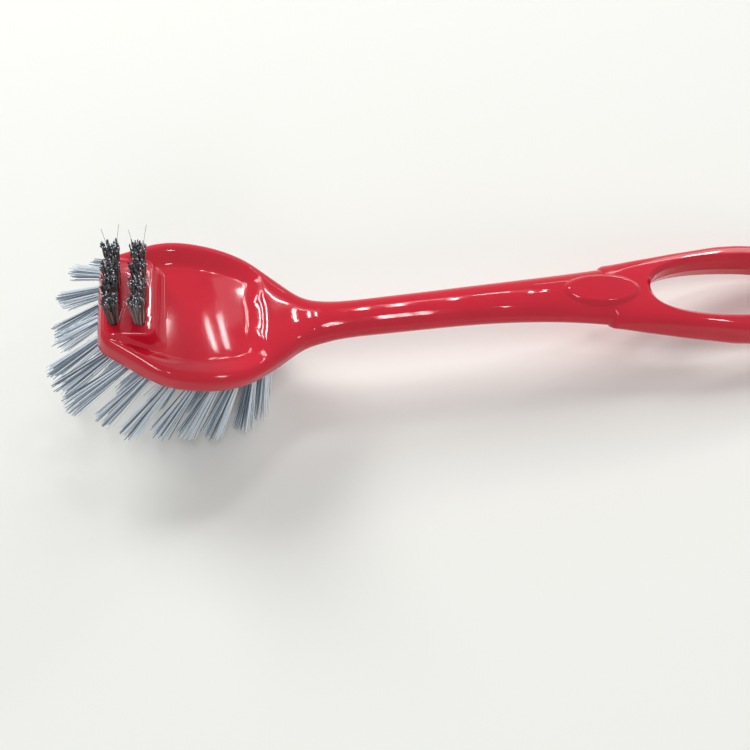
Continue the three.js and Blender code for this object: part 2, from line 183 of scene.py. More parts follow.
# half width of head, neck and shaft
headShares = [(0.135, 0.378), (0.24, 0.452), (0.34, 0.491), (0.455, 0.5), (0.58, 0.484),
              (0.715, 0.43), (0.865, 0.305), (0.985, 0.19)]
shaftHalfWidth = curveThrough(
    [(0, head["noseWidth"] / 2)]
    + [(along * head["length"], across * head["width"]) for along, across in headShares]
    + [(neckEnd - 5, 0.635 * handle["neckWidth"]), (neckEnd + 6, 0.5 * handle["neckWidth"]),
       (neckEnd + 26, 0.5 * handle["width"]), (shoulder - 45, 0.5 * handle["middleWidth"]),
       (shoulder - 20, 0.5 * handle["endWidth"]), (shoulder, 0.5 * handle["gripWidth"])])
shoulderHalf = handle["gripWidth"] / 2 + handle["shoulderStep"]
loopShares = [(0, 0), (0.32, 0.312), (0.5, 0.524), (0.7, 0.75), (0.85, 0.93), (1, 1)]
loopHalfWidth = curveThrough(
    [(shoulder + along * (widestLoop - shoulder),
      shoulderHalf + across * (loop["width"] / 2 - shoulderHalf)) for along, across in loopShares])
thickness = curveThrough([
    (0, head["thickness"]), (0.7 * head["length"], head["thickness"]), (neckEnd - 5, handle["thickness"]),
    (shoulder + 2, handle["thickness"]), (openingStart + 23, handle["gripThickness"]),
    (brushLength, handle["gripThickness"])])
# power of the section's superellipse: 2 is an ellipse and more is squarer
squareness = curveThrough([
    (0, 6), (0.7 * head["length"], 5.5), (neckEnd - 4, 2.6), (neckEnd + 20, 2.3), (shoulder - 20, 2.3),
    (shoulder + 4, 2.6), (openingStart, 4.0), (openingStart + 28, 5.5), (brushLength, 6.5)])


# how far a rounded corner stands back, at a distance in from its end
def cutBack(distance, radius):
    inside = max(radius - distance, 0)
    return radius - math.sqrt(max(radius * radius - inside * inside, 0))


# mean of a curve over a short stretch, which takes small kinks out of it
def eased(curve, station, reach, steps=4):
    reach = min(reach, station)
    total = sum(curve(station + reach * step / steps) for step in range(-steps, steps + 1))
    return total / (2 * steps + 1)


easeReach = 3


def halfWidth(station):
    if station > widestLoop:
        along = (station - widestLoop) / loop["endLength"]
        return loop["width"] / 2 * math.sqrt(max(1 - along * along, 0))
    if station > shoulder:
        step = handle["shoulderStep"] / handle["shoulderRound"]
        return loopHalfWidth(station) - step * cutBack(station - shoulder, handle["shoulderRound"])
    reach = min(easeReach, shoulder - station)
    return eased(shaftHalfWidth, station, reach) - cutBack(station, head["noseCorner"])


def halfThickness(station):
    corners = cutBack(station, head["noseRound"]) + cutBack(brushLength - station, loop["endRound"])
    return thickness(station) / 2 - corners


# share of the dish's depth at a distance in from its edge: a straight wall with a rounded brow and foot
def wallShare(distance, wall, brow, foot):
    slope = 1 / (wall - (brow + foot) / 2)
    if distance < brow:
        return slope * max(distance, 0) ** 2 / (2 * brow)
    if distance < wall - foot:
        return slope * (distance - brow / 2)
    return 1 - slope * max(wall - distance, 0) ** 2 / (2 * foot)


# depth of the dish
def dishAt(station, y):
    side = halfWidth(station) - head["dishRim"] - abs(y)
    rear = head["dishEnd"] - station
    near = max(head["dishCorner"] - abs(side - rear), 0) / head["dishCorner"]
    distance = min(side, rear) - near * near * head["dishCorner"] / 4
    atRear = smoothStep(side - rear, -head["cornerBlend"], head["cornerBlend"])
    wall = head["sideWall"] + (head["rearWall"] - head["sideWall"]) * atRear
    brow = head["sideBrow"] + (head["rearBrow"] - head["sideBrow"]) * atRear
    climb = max(station - head["floorLow"], 0) / (head["dishEnd"] - head["rearWall"] - head["floorLow"])
    front = smoothStep(station - head["dishStart"], 0, head["dishFrontRamp"])
    depth = head["dishDepth"] - head["floorRise"] * climb ** 2
    return depth * front * wallShare(distance, wall, brow, head["dishFoot"])


# height of the top above the spine
def topHeight(station, y):
    wide, power = halfWidth(station), squareness(station)
    share = max(1 - abs(y / wide) ** power, 0)
    return halfThickness(station) * share ** (1 / power) - dishAt(station, y)


# faces round the section and round the end of the loop, samples of a section's curve, least share of the
# half width at which the top's faces end, gap at the very end, reach within which points merge, and the
# angle in degrees from which an edge is sharp
bodyGrid = {"side": 14, "top": 60, "under": 56, "end": 64, "samples": 260, "creaseLeast": 0.4,
            "endGap": 0.0005, "merge": 1e-5, "sharp": 32}

# stretches of stations: start, end and spacing
bodyStretches = [(0, 1.6, 0.2), (1.6, 66, 0.75), (66, 90, 1.0), (90, shoulder - 0.4, 1.5),
                 (shoulder - 0.4, shoulder + 3, 0.2), (shoulder + 3, widestLoop, 0.9)]


def bodyStations():
    stations = []
    for start, end, spacing in bodyStretches:
        count = round((end - start) / spacing)
        stations += [start + (end - start) * i / count for i in range(count)]
    for turn in quarterTurn(bodyGrid["end"])[:-1]:
        stations.append(brushLength - loop["endLength"] * (1 - math.sin(turn)))
    return stations + [brushLength - bodyGrid["endGap"]]


# points evenly spread along a stretch of the section
def spread(ys, zs, count):
    run = np.concatenate([[0], np.cumsum(np.hypot(np.diff(ys), np.diff(zs)))])
    at = np.linspace(0, run[-1], count + 1)
    return list(zip(np.interp(at, run, ys), np.interp(at, run, zs)))


# y and z of the points round the body
def bodySection(station):
    wide, thick, power = halfWidth(station), halfThickness(station), squareness(station)
    crease = max(wide - head["dishRim"], bodyGrid["creaseLeast"] * wide)

    def stretch(start, end, count, sign, dished):
        turns = np.linspace(math.acos(start / wide), math.acos(end / wide), bodyGrid["samples"])
        ys = wide * np.cos(turns)
        zs = sign * thick * np.maximum(1 - np.abs(np.cos(turns)) ** power, 0) ** (1 / power)
        if dished and station < head["dishEnd"]:
            zs = zs - np.array([dishAt(station, y) for y in ys])
        return spread(ys, zs, count)[:-1]

    side, top, under = bodyGrid["side"], bodyGrid["top"], bodyGrid["under"]
    return (stretch(wide, crease, side, 1, False) + stretch(crease, -crease, top, 1, True)
            + stretch(-crease, -wide, side, 1, False) + stretch(-wide, wide, under, -1, False))


def makeBodyLoft():
    stations = bodyStations()
    sections = [bodySection(station) for station in stations]
    frames = [spineFrame(station) for station in stations]
    rounds = len(sections[0])
    bm = bmesh.new()
    bmesh.ops.create_grid(bm, x_segments=len(stations) - 1, y_segments=rounds, size=1)
    for vert in bm.verts:
        i = round((vert.co.x + 1) / 2 * (len(stations) - 1))
        j = round((vert.co.y + 1) / 2 * rounds) % rounds
        vert.co = frames[i] @ Vector((0, *sections[i][j]))
    bmesh.ops.remove_doubles(bm, verts=bm.verts[:], dist=bodyGrid["merge"])
    bmesh.ops.holes_fill(bm, edges=[edge for edge in bm.edges if edge.is_boundary], sides=0)
    bmesh.ops.recalc_face_normals(bm, faces=bm.faces[:])
    return finishMesh("brushBody", bm)


# point of an oval, moved out from it by a length
def ovalPoint(i, count, along, across, out):
    turn = 2 * math.pi * i / count
    x, y = along * math.cos(turn), across * math.sin(turn)
    normal = Vector((math.cos(turn) / along, math.sin(turn) / across)).normalized()
    return x + normal.x * out, y + normal.y * out


# points round the opening; rings near its parting line and well above the top as shares of the half
# thickness; rings down the lip as shares of its height; steps of the lip's round edge
openingCut = {"count": 240, "parting": [0.02, 0.08], "clear": 1.15, "lip": [1, 0.98, 0.6, 0.3],
              "roundSteps": 6}
lipSlope = math.atan2(loop["lipHeight"], loop["lip"])


# how far the opening's wall stands back from its parting line, at a share of the half thickness
def openingFlare(share):
    away = abs(share)
    half, radius = handle["gripThickness"] / 2, loop["lipRound"]
    below = max(1 - away, 0) * half
    if below < radius * (1 - math.cos(lipSlope)):
        edge = loop["lip"] + radius * math.tan(lipSlope / 2)
        lip = edge - math.sqrt(radius ** 2 - (radius - below) ** 2)
    else:
        lip = loop["lip"] * max(1 - below / loop["lipHeight"], 0)
    draft = loop["draft"] if share > 0 else loop["footDraft"]
    return draft * min(away / (1 - loop["lipHeight"] / half), 1) + lip


def makeOpeningCutter():
    half = (openingEnd - openingStart) / 2
    across = loop["width"] / 2 - loop["armWidth"]
    lipShare = loop["lipHeight"] / (handle["gripThickness"] / 2)
    roundShare = loop["lipRound"] / (handle["gripThickness"] / 2)
    count, steps, power = openingCut["count"], openingCut["roundSteps"], loop["bluntness"]
    above = openingCut["parting"] + [(1 - lipShare) / 2]
    above += [1 - lipShare * left for left in openingCut["lip"]]
    above += [1 - roundShare * (1 - math.cos(lipSlope * (1 - i / steps))) for i in range(steps + 1)]
    above.append(openingCut["clear"])

    def ringAt(share):
        ridge = loop["partingRidge"] if share == 0 else 0

        def point(i):
            flare = openingFlare(share) - ridge
            turn = 2 * math.pi * i / count
            blunt = abs(math.cos(turn)) ** power + abs(math.sin(turn)) ** power
            out = blunt ** (-1 / power)
            x, y = half + (half + flare) * math.cos(turn) * out, (across + flare) * math.sin(turn) * out
            return Vector((x, y, share * topHeight(openingStart + x, y)))
        return point

    bm = bmesh.new()
    stackRings(bm, count, [ringAt(share) for share in [-s for s in reversed(above)] + [0] + above])
    return finishMesh("openingCutter", bm, spineFrame(openingStart))


pad = {"length": 29.2, "width": 14.0, "setback": 2.9, "height": 0.8, "slope": 2.2, "sink": 0.15,
       "root": 3, "count": 160, "steps": 10}


def makePad():
    station = shoulder - pad["setback"]
    frameHere = spineFrame(station)
    top = thickness(shoulder) / 2 + pad["height"]
    count, steps = pad["count"], pad["steps"]

    # height of the body's top beside the pad, in the pad's frame
    def bedAt(x, y):
        flat = frameHere.inverted() @ spineFrame(station + x)
        return (flat @ Vector((0, y, topHeight(station + x, y)))).z - pad["sink"]

    def ringAt(step):
        def point(i):
            inward = max(step, 0) / steps * pad["slope"]
            x, y = ovalPoint(i, count, pad["length"] / 2, pad["width"] / 2, -inward)
            edge = ovalPoint(i, count, pad["length"] / 2, pad["width"] / 2, 0)
            bed = bedAt(*edge)
            rise = math.sin(max(step, 0) / steps * math.pi / 2)
            return Vector((x, y, bed + (top - bed) * rise - (pad["root"] if step < 0 else 0)))
        return point

    bm = bmesh.new()
    stackRings(bm, count, [ringAt(step) for step in range(-1, steps + 1)])
    return finishMesh("ovalPad", bm, frameHere)


block = {"length": 14.9, "width": 28, "height": 0.5, "tilt": 10.8, "corner": 2.6, "edge": 0.7,
         "setback": 0.5, "draft": 0.02, "sideDraft": 0.008, "depth": 8.2, "fillet": 2.3,
         "filletStart": 0.2, "filletFull": 3.5, "filletPasses": 3, "noseGap": 0.3,
         "count": 220, "edgeSteps": 6, "wallSteps": 44}
blockInHead = (Matrix.Translation((block["setback"], 0, head["thickness"] / 2 + block["height"]))
               @ Matrix.Rotation(math.radians(-block["tilt"]), 4, "Y"))
headFrame = spineFrame(0)
blockFrame = headFrame @ blockInHead


# points and outward directions round the block's outline
def blockOutline(count):
    length, side, corner = block["length"], block["width"] / 2, block["corner"]
    straight = [length - 2 * corner, 2 * (side - corner)] * 2
    arc = corner * math.pi / 2
    total = sum(straight) + 4 * arc
    corners = [(length - corner, side - corner), (corner, side - corner),
               (corner, corner - side), (length - corner, corner - side)]
    found = []
    for i in range(count):
        run, quarter = i / count * total, 0
        while run > arc + straight[quarter]:
            run -= arc + straight[quarter]
            quarter += 1
        turn = (quarter + min(run / arc, 1)) * math.pi / 2
        way = Vector((math.cos(turn), math.sin(turn)))
        on = Vector((-way.y, way.x)) * max(run - arc, 0)
        found.append((Vector(corners[quarter]) + way * corner + on, way))
    return found


def makeBlock():
    outline = blockOutline(block["count"])
    edge, fillet, steps = block["edge"], block["fillet"], block["wallSteps"]
    profile = [(-edge * (1 - math.cos(turn)), -edge * (1 - math.sin(turn)))
               for turn in quarterTurn(block["edgeSteps"])]
    profile += [(-edge - (block["depth"] - edge) * step / steps, 0) for step in range(1, steps + 1)]

    def ringAt(height, inset):
        def point(i):
            flat, way = outline[i]
            leaning = Vector((flat.x * (1 - block["draft"] * height),
                              flat.y * (1 - block["sideDraft"] * height)))
            foot = 0
            for _ in range(block["filletPasses"]):  # it widens as the wall nears the dish below it
                at = leaning + way * (inset + foot)
                low = blockInHead @ Vector((at.x, at.y, height))
                above = low.z - topHeight(max(low.x, block["noseGap"]), low.y)
                near = min(max(fillet - above, 0), fillet)
                foot = fillet - math.sqrt(max(fillet * fillet - near * near, 0))
                foot *= smoothStep(flat.x, block["filletStart"], block["filletFull"])
            return Vector((at.x, at.y, height))
        return point

    bm = bmesh.new()
    stackRings(bm, block["count"], [ringAt(height, inset) for height, inset in profile])
    return finishMesh("noseBlock", bm, blockFrame)


seat = {"height": 0.4, "centre": 31, "along": 26.4, "across": 22.0, "margin": 3.0, "edge": 0.5, "root": 3,
        "count": 120, "edgeSteps": 4}


def makeSeat():
    low = -head["thickness"] / 2 - seat["height"]
    along, across = seat["along"] + seat["margin"], seat["across"] + seat["margin"]
    edge, count = seat["edge"], seat["count"]
    centre = Vector((seat["centre"], 0, 0))
    profile = [(low + edge * (1 - math.cos(turn)), -edge * (1 - math.sin(turn)))
               for turn in quarterTurn(seat["edgeSteps"])] + [(low + seat["root"], 0)]

    def ringAt(height, out):
        return lambda i: Vector((*ovalPoint(i, count, along, across, out), height)) + centre

    bm = bmesh.new()
    stackRings(bm, count, [ringAt(height, out) for height, out in profile])
    return finishMesh("fanSeat", bm, headFrame)


# "loose", "bend" and "uneven" are spreads of a filament's direction, curve and length, and "thick" is the
# range of its share of the radius.
fan = {
    # tufts, half length, half width, height of the apex that they point away from
    "rings": [(24, 26.4, 22.0, 53.2), (13, 17.7, 14.5, 74), (6, 9.0, 7.0, 90)],
    "apex": 51.8, "noseLength": 24.3, "rearLength": 24.7,
    "filaments": 56, "steps": 5, "radius": 0.17, "rootRadius": 1.45, "rootDepth": 0.9, "spread": 0.062,
    "loose": 0.010, "bend": 0.25, "uneven": 0.3, "thick": (0.85, 1.1), "seed": 11,
    # along and across push of the tips in the outer ring, by number of the tuft
    "pushed": {8: (-3.5, 7.0), 9: (-3.6, 8.2), 10: (-2.0, 1.0), 11: (1.0, -4.6), 12: (2.2, -0.6),
               13: (0, -5.0), 14: (-0.9, -3.2), 15: (-3.2, -3.0), 16: (-0.3, -1.2), 17: (-0.9, -2.0),
               20: (0, -1.5), 21: (3.4, -2.2), 22: (3.4, -3.2), 23: (2.0, -2.4)},
}
# From 0, pale, to 1, dark. A tuft has more dark filaments on its nose side. The inner rings get a
# narrower range of shades, which greys them: painted shade for the shade they sit in under the outer
# ring.
fanShade = {"middle": 0.45, "dark": 0.33, "pale": -0.4, "vary": 0.12, "darkShare": (0.22, 0.42),
            "innerDarkShare": 0.3, "shadedInnerContrast": 0.45, "noseSide": 0.28}
noseBrush = {
    "rows": [3.1, 10.8], "tufts": 4, "pitch": 6.3, "length": 12.1, "lean": 3.2,
    "filaments": 66, "steps": 9, "radius": 0.21, "rootRadius": 1.45, "rootDepth": 0.9, "spread": 0.07,
    "loose": 0.012, "bend": 0.2, "uneven": 0.3, "thick": (0.85, 1.15), "seed": 5,
    "crimp": 0.3, "crimpRange": (0.5, 1.3), "turns": (2.0, 3.5), "start": (0, 6.28),
}
stray = {"count": 4, "loose": 0.055, "bend": 0.5, "longer": (0.2, 2.0), "thick": 0.6}
hair = {"radius": 0.07, "bend": 2.2, "aside": 1.0, "wave": 0.1, "turns": 1.0, "start": 1.0, "shade": 0.4,
        "each": [(3, (1.1, 0.3), 22.0), (3, (-0.6, 1.0), 18.5)]}  # tuft, place in it and length
underside = -head["thickness"] / 2 - seat["height"]
holes = {"radius": 1.65, "depth": 1.0, "count": 28}


# root, direction, length and ring or row of each tuft, in the frame of its face
def fanTufts():
    front, run = seat["centre"] - fan["rings"][0][1], 2 * fan["rings"][0][1]
    tufts = []
    for ring, (count, along, across, height) in enumerate(fan["rings"]):
        apex = Vector((fan["apex"], 0, height))
        for i in range(count):
            swing = 2 * math.pi * i / count + ring * math.pi / count
            root = Vector((seat["centre"] + along * math.cos(swing), across * math.sin(swing), underside))
            share = (root.x - front) / run
            length = fan["noseLength"] + (fan["rearLength"] - fan["noseLength"]) * share
            push = fan["pushed"].get(i, (0, 0)) if ring == 0 else (0, 0)
            way = (root - apex).normalized() * length + Vector((*push, 0))
            tufts.append((root, way.normalized(), way.length, ring))
    return tufts


def noseTufts():
    lean = math.radians(noseBrush["lean"])
    way = Vector((-math.sin(lean), 0, math.cos(lean)))
    middle = (noseBrush["tufts"] - 1) / 2
    return [(Vector((row, (i - middle) * noseBrush["pitch"], 0)), way, noseBrush["length"], number)
            for number, row in enumerate(noseBrush["rows"]) for i in range(noseBrush["tufts"])]


def makeHoleCutter(name, tufts, place):
    bm = bmesh.new()
    for tuft in tufts:
        bmesh.ops.create_cone(bm, cap_ends=True, segments=holes["count"], radius1=holes["radius"],
                              radius2=holes["radius"], depth=2 * holes["depth"],
                              matrix=Matrix.Translation(tuft[0]))
    return finishMesh(name, bm, place)


# three-sided bar of radius 1 from z = 0 to 1, cut into steps
def filamentMesh(steps):
    bm = bmesh.new()
    bmesh.ops.create_cone(bm, cap_ends=True, segments=3, radius1=1, radius2=1, depth=1,
                          matrix=Matrix.Translation((0, 0, 0.5)))
    upright = [edge for edge in bm.edges if abs(edge.verts[0].co.z - edge.verts[1].co.z) > 0.5]
    bmesh.ops.subdivide_edges(bm, edges=upright, cuts=steps - 1)
    bmesh.ops.recalc_face_normals(bm, faces=bm.faces[:])
    mesh = bpy.data.meshes.new("filament")
    bm.to_mesh(mesh)
    bm.free()
    return mesh


# a direction that no filament has, the crimp's second wave, the power by which crimp grows towards the
# tip, and in metres the height at which tips are trimmed where the brush stands on them
filamentLine = {"skew": [0.31, 0.84, 0.44], "secondWave": 1.3, "crimpGrowth": 5, "trim": 0.0002}


# copies one bar for every filament, then bends each copy to its own line
def makeFilaments(name, filaments, place, steps):
    bar = filamentMesh(steps)
    count = len(bar.vertices)
    piece = linkObject(name, bar)
    copies = piece.modifiers.new("copies", "ARRAY")
    copies.count = len(filaments)
    copies.use_relative_offset = False
    applyModifiers(piece)
    mesh = piece.data
    local = np.zeros(len(mesh.vertices) * 3)
    mesh.vertices.foreach_get("co", local)
    local = local.reshape(len(filaments), count, 3)
    rows = {key: np.array([filament[key] for filament in filaments], float) for key in filaments[0]}
    along = local[:, :, 2:3]
    root, way, bend = (rows[key][:, None, :] for key in ("root", "way", "bend"))
    length, wave, turns, start, radius = (
        rows[key][:, None, None] for key in ("length", "wave", "turns", "start", "radius"))
    unit = rows["way"] / np.linalg.norm(rows["way"], axis=1, keepdims=True)
    sideA = np.cross(unit, filamentLine["skew"])
    sideA /= np.linalg.norm(sideA, axis=1, keepdims=True)
    sideB = np.cross(unit, sideA)
    sideA, sideB = sideA[:, None, :], sideB[:, None, :]
    swing = turns * along * 2 * np.pi + start
    line = root + way * length * along + bend * along ** 2
    crimp = sideA * np.sin(swing) + sideB * np.cos(filamentLine["secondWave"] * swing)
    line = line + crimp * wave * along ** filamentLine["crimpGrowth"]
    spot = line + (sideA * local[:, :, 0:1] + sideB * local[:, :, 1:2]) * radius
    turn = np.array(place.to_3x3())
    spot = (spot @ turn.T + np.array(place.translation)) * mm
    spot[:, :, 2] = np.maximum(spot[:, :, 2], filamentLine["trim"])
    mesh.vertices.foreach_set("co", spot.ravel())
    for key, values in (("shade", np.repeat(rows["shade"], count)), ("along", along.ravel())):
        layer = mesh.attributes.new(key, "FLOAT", "POINT")
        layer.data.foreach_set("value", values.astype(np.float32))
    mesh.update()
    return piece


def discPoint(pick, radius):
    out, turn = radius * math.sqrt(pick.random()), pick.uniform(0, 2 * math.pi)
    return Vector((out * math.cos(turn), out * math.sin(turn), 0))


def scatter(pick, size):
    return Vector([pick.gauss(0, size) for _ in range(3)])


def fanFilaments(tufts, pick):
    filaments = []
    for root, way, length, ring in tufts:
        # inner tufts get less contrast, a mid grey that is painted shade
        darkShare = pick.uniform(*fanShade["darkShare"]) if ring == 0 else fanShade["innerDarkShare"]
        contrast = 1 if ring == 0 else fanShade["shadedInnerContrast"]
        for _ in range(fan["filaments"]):
            aside = discPoint(pick, fan["rootRadius"])
            own = (way + aside * fan["spread"] + scatter(pick, fan["loose"])).normalized()
            isDark = pick.random() < darkShare - fanShade["noseSide"] * aside.x / fan["rootRadius"]
            tone = fanShade["dark" if isDark else "pale"] + pick.gauss(0, fanShade["vary"])
            filaments.append({
                "root": root + aside + Vector((0, 0, fan["rootDepth"])), "way": own,
                "bend": scatter(pick, fan["bend"]),
                "length": length + pick.gauss(0, fan["uneven"]) + fan["rootDepth"],
                "wave": 0, "turns": 1, "start": 0, "radius": fan["radius"] * pick.uniform(*fan["thick"]),
                "shade": min(max(fanShade["middle"] + contrast * tone, 0), 1),
            })
    return filaments


def noseFilaments(tufts, pick):
    filaments = []
    count = noseBrush["filaments"]
    for root, way, length, _ in tufts:
        for number in range(count + stray["count"]):
            isStray = number >= count
            kind = stray if isStray else noseBrush
            aside = discPoint(pick, noseBrush["rootRadius"])
            own = (way + aside * noseBrush["spread"] + scatter(pick, kind["loose"])).normalized()
            bend = scatter(pick, kind["bend"])
            longer = pick.uniform(*stray["longer"]) if isStray else pick.gauss(0, noseBrush["uneven"])
            wave = noseBrush["crimp"] * pick.uniform(*noseBrush["crimpRange"])
            turns, start = pick.uniform(*noseBrush["turns"]), pick.uniform(*noseBrush["start"])
            thick = stray["thick"] if isStray else pick.uniform(*noseBrush["thick"])
            filaments.append({
                "root": root + aside - Vector((0, 0, noseBrush["rootDepth"])), "way": own, "bend": bend,
                "length": length + longer + noseBrush["rootDepth"], "wave": wave, "turns": turns,
                "start": start, "radius": noseBrush["radius"] * thick, "shade": pick.random(),
            })
    for tuft, (x, y), length in hair["each"]:
        root, way = tufts[tuft][:2]
        filaments.append({
            "root": root + Vector((x, y, -noseBrush["rootDepth"])), "way": way,
            "bend": Vector((hair["bend"] * x, hair["aside"], 0)), "length": length,
            **{key: hair[key] for key in ("wave", "turns", "start", "radius", "shade")},
        })
    return filaments


# a node's output, on which arithmetic adds Math nodes
class Wire:
    def __init__(self, finish, socket):
        self.finish, self.socket = finish, socket

    def maths(self, operation, *values):
        return self.finish.node("ShaderNodeMath", {"operation": operation}, dict(enumerate(values)))

    def __add__(self, other): return self.maths("ADD", self, other)
    def __radd__(self, other): return self.maths("ADD", other, self)
    def __sub__(self, other): return self.maths("SUBTRACT", self, other)
    def __rsub__(self, other): return self.maths("SUBTRACT", other, self)
    def __mul__(self, other): return self.maths("MULTIPLY", self, other)
    def __rmul__(self, other): return self.maths("MULTIPLY", other, self)
    def __pow__(self, other): return self.maths("POWER", self, other)
    def above(self, other): return self.maths("GREATER_THAN", self, other)


# nodes of a material or of the world: fixed values go on its shader, and nodes are added one at a time
class Finish:
    def __init__(self, owner, shader, **fixed):
        owner.use_nodes = True
        self.owner, self.tree = owner, owner.node_tree
        self.shader = self.tree.nodes[shader]
        for key, value in fixed.items():
            self.shader.inputs[key.replace("_", " ")].default_value = value

    def node(self, kind, settings=None, sockets=None, out=0):
        made = self.tree.nodes.new(kind)
        for key, value in (settings or {}).items():
            if key == "stops":
                elements = made.color_ramp.elements
                for i, (position, color) in enumerate(value):
                    element = elements[i] if i < 2 else elements.new(position)
                    element.position, element.color = position, (*color, 1)
            else:
                setattr(made, key, value)
        for key, value in (sockets or {}).items():
            self.plug(made.inputs[key], value)
        return Wire(self, made.outputs[out])

    def plug(self, socket, value):
        if isinstance(value, Wire):
            self.tree.links.new(value.socket, socket)
        else:
            socket.default_value = value

    def feed(self, key, value):
        self.plug(self.shader.inputs[key], value)

    def noise(self, scale, detail):
        place = self.node("ShaderNodeTexCoord", out="Object")
        return self.node("ShaderNodeTexNoise", {}, {"Vector": place, "Scale": scale, "Detail": detail})

    # mixes two colours, and takes the second at 1
    def blend(self, share, first, second):
        return self.node("ShaderNodeMix", {"data_type": "RGBA"}, {
            "Factor": share, 6: first, 7: second}, out=2)

    def ramp(self, share, stops):
        return self.node("ShaderNodeValToRGB", {"stops": stops}, {"Fac": share})


def newFinish(name, **fixed):
    return Finish(bpy.data.materials.new(name), "Principled BSDF", **fixed)


# Noises are scale and detail, and the bump's distance is in metres.
redLook = {
    "ior": 1.42, "tints": [(0.3, (0.55, 0.006, 0.025)), (0.7, (0.61, 0.009, 0.031))],
    "clouds": (55.0, 3.0), "smears": (140.0, 4.0), "roughness": 0.035, "smearRoughness": 0.04,
    "waves": (45.0, 1.0), "grain": (900.0, 2.0), "grainShare": 0.02, "bump": 0.2, "distance": 0.0002,
}


def redPlastic():
    finish = newFinish("redPlastic", IOR=redLook["ior"])
    finish.feed("Base Color", finish.ramp(finish.noise(*redLook["clouds"]), redLook["tints"]))
    smear = finish.noise(*redLook["smears"])
    finish.feed("Roughness", redLook["roughness"] + smear * redLook["smearRoughness"])
    height = finish.noise(*redLook["waves"]) + finish.noise(*redLook["grain"]) * redLook["grainShare"]
    finish.feed("Normal", finish.node("ShaderNodeBump", {}, {
        "Height": height, "Strength": redLook["bump"], "Distance": redLook["distance"]}))
    return finish.owner


# "cutEnd" is where a filament's cut end starts, as a share of its length.
filamentLook = {"ior": 1.5, "streaks": (700.0, 2.0), "vary": 0.2, "roughness": 0.3,
                "streakRoughness": 0.15, "cutEnd": 0.985}


# Filaments take their tint from the two values that each of them carries. Tips turn to the end tint, and
# the cut ends of filaments shaded above a set level take a pale tint: a painted highlight for light
# caught on the cut ends.
def filamentFinish(name, look):
    finish = newFinish(name, IOR=filamentLook["ior"])
    shade = finish.node("ShaderNodeAttribute", {"attribute_name": "shade"}, out="Fac")
    along = finish.node("ShaderNodeAttribute", {"attribute_name": "along"}, out="Fac")
    streak = finish.noise(*filamentLook["streaks"])
    vary = filamentLook["vary"]
    tint = finish.ramp(shade + streak * vary - vary / 2, look["tints"])
    toEnd = finish.blend(along ** look["endRise"] * look["endShare"], tint, (*look["endTint"], 1))
    # painted highlight: a pale tint on the cut ends of filaments shaded above a set level
    spot = along.above(filamentLook["cutEnd"]) * shade.above(look["glintShade"])
    finish.feed("Base Color", finish.blend(spot, toEnd, (*look["glintTint"], 1)))
    finish.feed("Roughness", filamentLook["roughness"] + streak * filamentLook["streakRoughness"])
    return finish.owner


metalLook = {"strokes": (1500.0, 3.0), "tints": [(0.35, (0.45, 0.46, 0.48)), (0.7, (0.62, 0.63, 0.65))],
             "roughness": 0.28, "strokeRoughness": 0.2}


def anchorMetal():
    finish = newFinish("anchorMetal", Metallic=1.0)
    stroke = finish.noise(*metalLook["strokes"])
    finish.feed("Base Color", finish.ramp(stroke, metalLook["tints"]))
    finish.feed("Roughness", metalLook["roughness"] + stroke * metalLook["strokeRoughness"])
    return finish.owner


def floorFinish():
    return newFinish("paleFloor", Base_Color=(0.86, 0.862, 0.815, 1), Roughness=0.9).owner


body = makeBodyLoft()
print("body loft made")
for part in (makeSeat(), makeBlock(), makePad()):
    cutOrJoin(body, part, "UNION")
cutOrJoin(body, makeOpeningCutter(), "DIFFERENCE")
cutOrJoin(body, makeHoleCutter("fanHoles", fanTufts(), headFrame), "DIFFERENCE")
cutOrJoin(body, makeHoleCutter("noseHoles", noseTufts(), blockFrame), "DIFFERENCE")
shadeSmooth(body, bodyGrid["sharp"])
body.data.materials.clear()
body.data.materials.append(redPlastic())
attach(body, "root")
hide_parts("brush_body")
print("body joined:", len(body.data.polygons), "faces")

pale = filamentFinish("paleFilament", {
    "tints": [(0.0, (0.90, 0.96, 1.0)), (1.0, (0.057, 0.078, 0.107)),
              (0.3, (0.73, 0.835, 0.945)), (0.62, (0.265, 0.34, 0.42))],
    "endTint": (0.62, 0.70, 0.78), "endRise": 8, "endShare": 0.3,
    "glintShade": 2, "glintTint": (0.8, 0.8, 0.8)})
# the pale tint on these filaments' cut ends is a painted highlight; the pale filaments never get it
dark = filamentFinish("darkFilament", {
    "tints": [(0.0, (0.035, 0.028, 0.028)), (1.0, (0.52, 0.47, 0.44)), (0.5, (0.14, 0.117, 0.108))],
    "endTint": (0.10, 0.13, 0.15), "endRise": 4, "endShare": 0.8,
    "glintShade": 0.72, "glintTint": (0.75, 0.83, 0.87)})

pick = random.Random(fan["seed"])
outer = [tuft for tuft in fanTufts() if tuft[3] == 0]
inner = [tuft for tuft in fanTufts() if tuft[3] > 0]
for name, tufts, node in (("outerFan", outer, "outer_fan_bristles"),
                          ("innerFan", inner, "inner_fan_bristles")):
    piece = makeFilaments(name, fanFilaments(tufts, pick), headFrame, fan["steps"])
    piece.data.materials.append(pale)
    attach(piece, "root")
    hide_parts(node)
pick = random.Random(noseBrush["seed"])
for name, row, node in (("frontRow", 0, "front_row_bristles"),
                        ("rearRow", 1, "rear_row_bristles")):
    tufts = [tuft for tuft in noseTufts() if tuft[3] == row]
    piece = makeFilaments(name, noseFilaments(tufts, pick), blockFrame, noseBrush["steps"])
    piece.data.materials.append(dark)
    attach(piece, "root")
    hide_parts(node)
print("tufts made")

metal = anchorMetal()
for name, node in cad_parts.items():
    if "anchor" in name:
        node.data.materials.clear()
        node.data.materials.append(metal)

floorReach = 3.0
bm = bmesh.new()
bmesh.ops.create_grid(bm, x_segments=1, y_segments=1, size=floorReach)
floorMesh = bpy.data.meshes.new("floor")
bm.to_mesh(floorMesh)
bm.free()
floor = linkObject("floor", floorMesh)
floor.data.materials.append(floorFinish())

